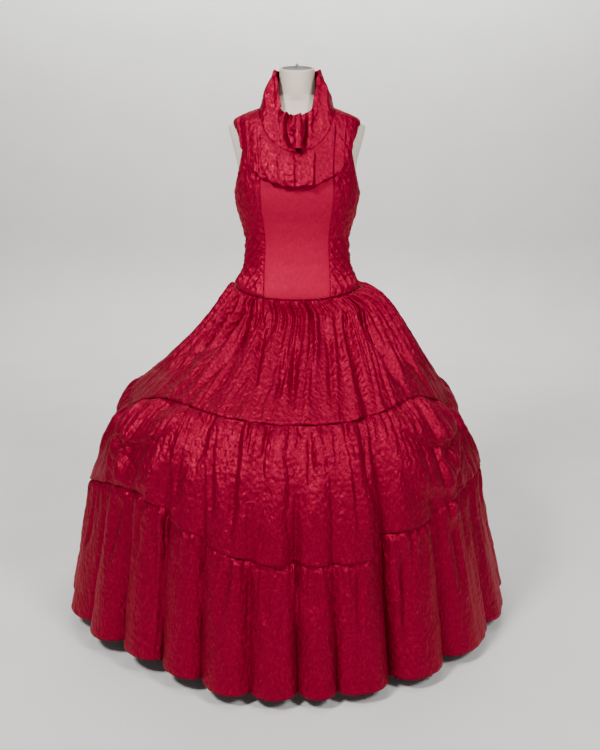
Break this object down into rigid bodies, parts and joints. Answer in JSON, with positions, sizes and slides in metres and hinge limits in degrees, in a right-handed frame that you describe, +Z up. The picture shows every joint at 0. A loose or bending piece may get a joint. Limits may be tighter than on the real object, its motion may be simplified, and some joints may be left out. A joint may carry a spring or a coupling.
{
  "type": "party dress on a limbless dress form with a stand",
  "caption": "Sleeveless floor-length party dress with ruffled stand collar and gathered tiers picked up at the sides, on a limbless form.",
  "frame": {"origin": "middle of the underside of the stand's round base, on the floor, under the neck", "axes": "+Z up, the dress's front faces -Y, the wearer's left side is towards +X"},
  "size_m": [1.2843, 1.2902, 1.5197],
  "materials": {
    "satin": "crushed satin with a crinkle",
    "form_cover": "smooth off-white",
    "steel": "brushed",
    "base_paint": "satin paint"
  },
  "bodies": {
    "root": {"bodice_front": "satin", "bodice_side_front_left": "satin", "bodice_side_front_right": "satin", "bodice_back_left": "satin", "bodice_back_right": "satin", "collar_stand": "satin", "collar_front_roll": "satin", "collar_ruffle": "satin", "skirt_tier_1": "satin", "skirt_tier_2": "satin", "skirt_tier_3": "satin", "form_torso": "form_cover", "form_neck_knob": "steel", "stand_pole": "steel", "stand_base": "base_paint"}
  },
  "joints": []
}
